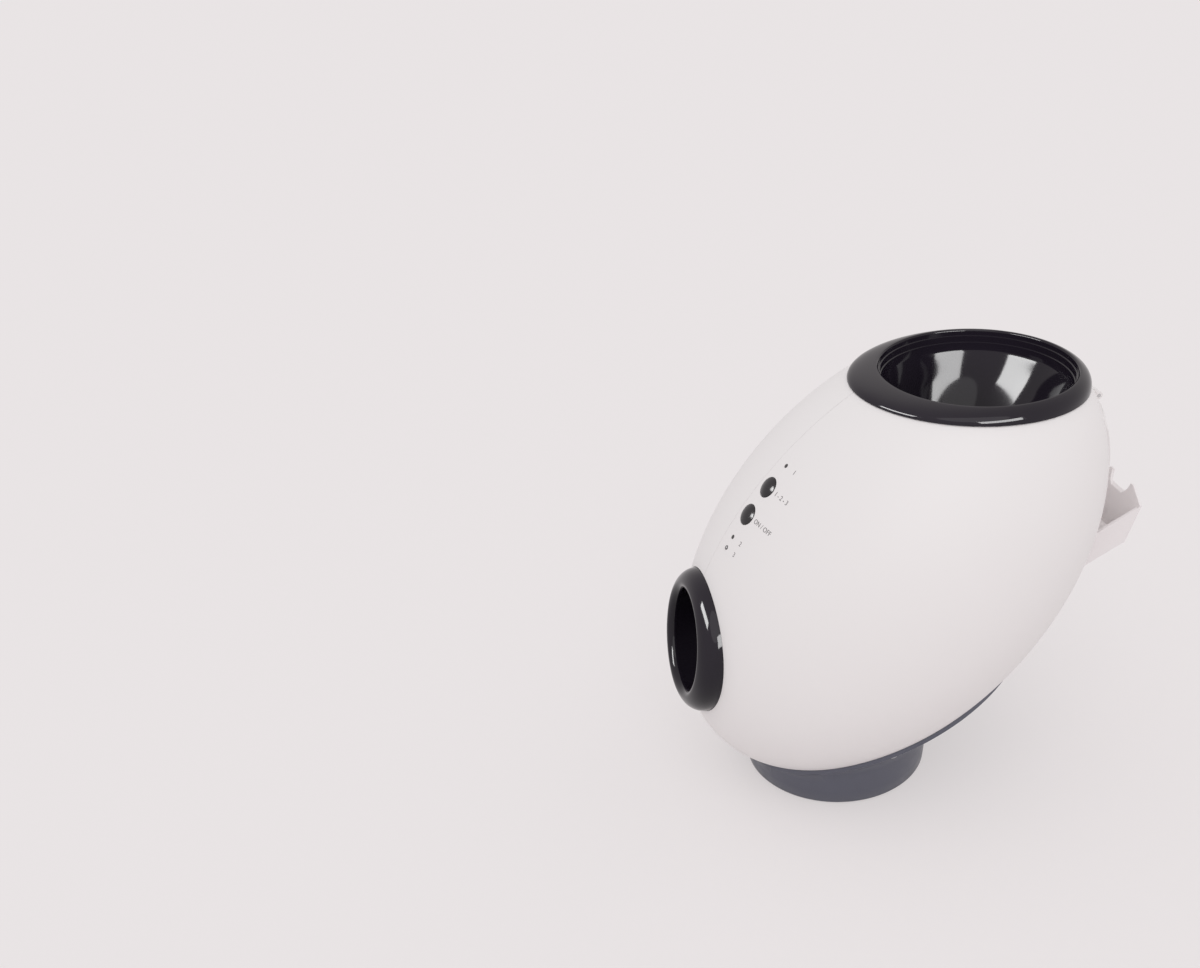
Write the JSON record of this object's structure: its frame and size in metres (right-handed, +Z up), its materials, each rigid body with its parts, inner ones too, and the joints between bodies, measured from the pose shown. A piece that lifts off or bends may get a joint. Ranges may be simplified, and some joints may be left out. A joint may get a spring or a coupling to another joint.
{
  "type": "automatic ball launcher",
  "caption": "Egg-shaped ball launcher for dogs with a drop-in bowl on top, a round muzzle, a treat tray at the back and a round foot.",
  "frame": {"origin": "centre of the round foot, on the ground under its rubber pads", "axes": "+X is the throwing direction, towards the muzzle; +Y is the machine's left; +Z is up"},
  "size_m": [0.33, 0.24, 0.29],
  "materials": {
    "white_shell": "smooth satin-gloss white",
    "grey_base": "fine matt blue-grey",
    "black_gloss": "polished black",
    "pads": "matt rubber",
    "tyres": "soft matt rubber",
    "frame_plastic": "moulded, matt",
    "chute_plastic": "moulded, smooth",
    "hub_plastic": "moulded, matt",
    "gate_plastic": "moulded, matt",
    "gear_plastic": "moulded, matt",
    "servo_case": "matt case",
    "motor_can": "plated steel",
    "steel": "ground steel",
    "screws": "zinc-plated",
    "lamp": "smoked light pipe",
    "board": "lacquered board",
    "board_parts": "mixed parts",
    "sensor": "dark moulded",
    "inlet": "black socket with steel pin"
  },
  "bodies": {
    "housing": {"left_shell": "white_shell", "right_shell": "white_shell", "bottom_cover": "grey_base", "foot_pads": "pads", "cover_screws": "screws", "shell_screws": "screws", "power_inlet": "inlet", "hopper_bowl": "black_gloss", "muzzle_ring": "black_gloss", "launch_tube": "frame_plastic", "launcher_frame": "frame_plastic", "frame_screws": "screws", "motor_screws": "screws", "ball_chute": "chute_plastic", "gate_servo": "servo_case", "ball_sensors": "sensor", "mode_lamps": "lamp", "button_board": "board", "tact_switches": "board_parts", "board_screws": "screws", "main_board": "board", "board_parts": "board_parts", "treat_bin": "white_shell", "treat_motor": "motor_can", "treat_slide": "white_shell", "lid_hinge_pin": "steel", "treat_tray": "white_shell", "left_wheel_motor": "motor_can", "right_wheel_motor": "motor_can"},
    "mode_button": {"mode_button": "black_gloss"},
    "power_button": {"power_button": "black_gloss"},
    "left_wheel": {"left_wheel_hub": "hub_plastic", "left_wheel_tyre": "tyres", "left_wheel_shaft": "steel"},
    "right_wheel": {"right_wheel_hub": "hub_plastic", "right_wheel_tyre": "tyres", "right_wheel_shaft": "steel"},
    "gate": {"gate_flap": "gate_plastic"},
    "treat_drum": {"treat_drum": "gear_plastic", "drum_axle": "steel", "drum_gear": "gear_plastic"},
    "treat_pinion": {"drive_pinion": "gear_plastic"},
    "treat_lid": {"treat_lid": "white_shell"}
  },
  "joints": [
    {"name": "mode_button_press", "type": "slide", "parent": "housing", "child": "mode_button", "axis": [-0.7617, -0.0855, -0.6422], "range_m": [0, 0.001], "stiffness_N_per_m": 800},
    {"name": "power_button_press", "type": "slide", "parent": "housing", "child": "power_button", "axis": [-0.7617, -0.0855, -0.6422], "range_m": [0, 0.001], "stiffness_N_per_m": 800},
    {"name": "left_wheel_spin", "type": "hinge", "parent": "housing", "child": "left_wheel", "pos_m": [0.02968, 0.056, 0.10645], "axis": [-0.1736, 0, 0.9848], "continuous": true},
    {"name": "right_wheel_spin", "type": "hinge", "parent": "housing", "child": "right_wheel", "pos_m": [0.02968, -0.056, 0.10645], "axis": [-0.1736, 0, 0.9848], "continuous": true},
    {"name": "gate_swing", "type": "hinge", "parent": "housing", "child": "gate", "pos_m": [-0.06822, 0, 0.0826], "axis": [0, 1, 0], "range_deg": [0, 85]},
    {"name": "treat_drum_spin", "type": "hinge", "parent": "housing", "child": "treat_drum", "pos_m": [-0.15, 0, 0.166], "axis": [0, 1, 0], "continuous": true},
    {"name": "treat_pinion_spin", "type": "hinge", "parent": "housing", "child": "treat_pinion", "pos_m": [-0.13719, 0, 0.15319], "axis": [0, 1, 0], "continuous": true},
    {"name": "treat_lid_open", "type": "hinge", "parent": "housing", "child": "treat_lid", "pos_m": [-0.18203, 0, 0.2585], "axis": [0, 1, 0], "range_deg": [0, 95]}
  ],
  "couplings": [
    {"joint": "treat_pinion_spin", "follows": "treat_drum_spin", "ratio": -2}
  ]
}
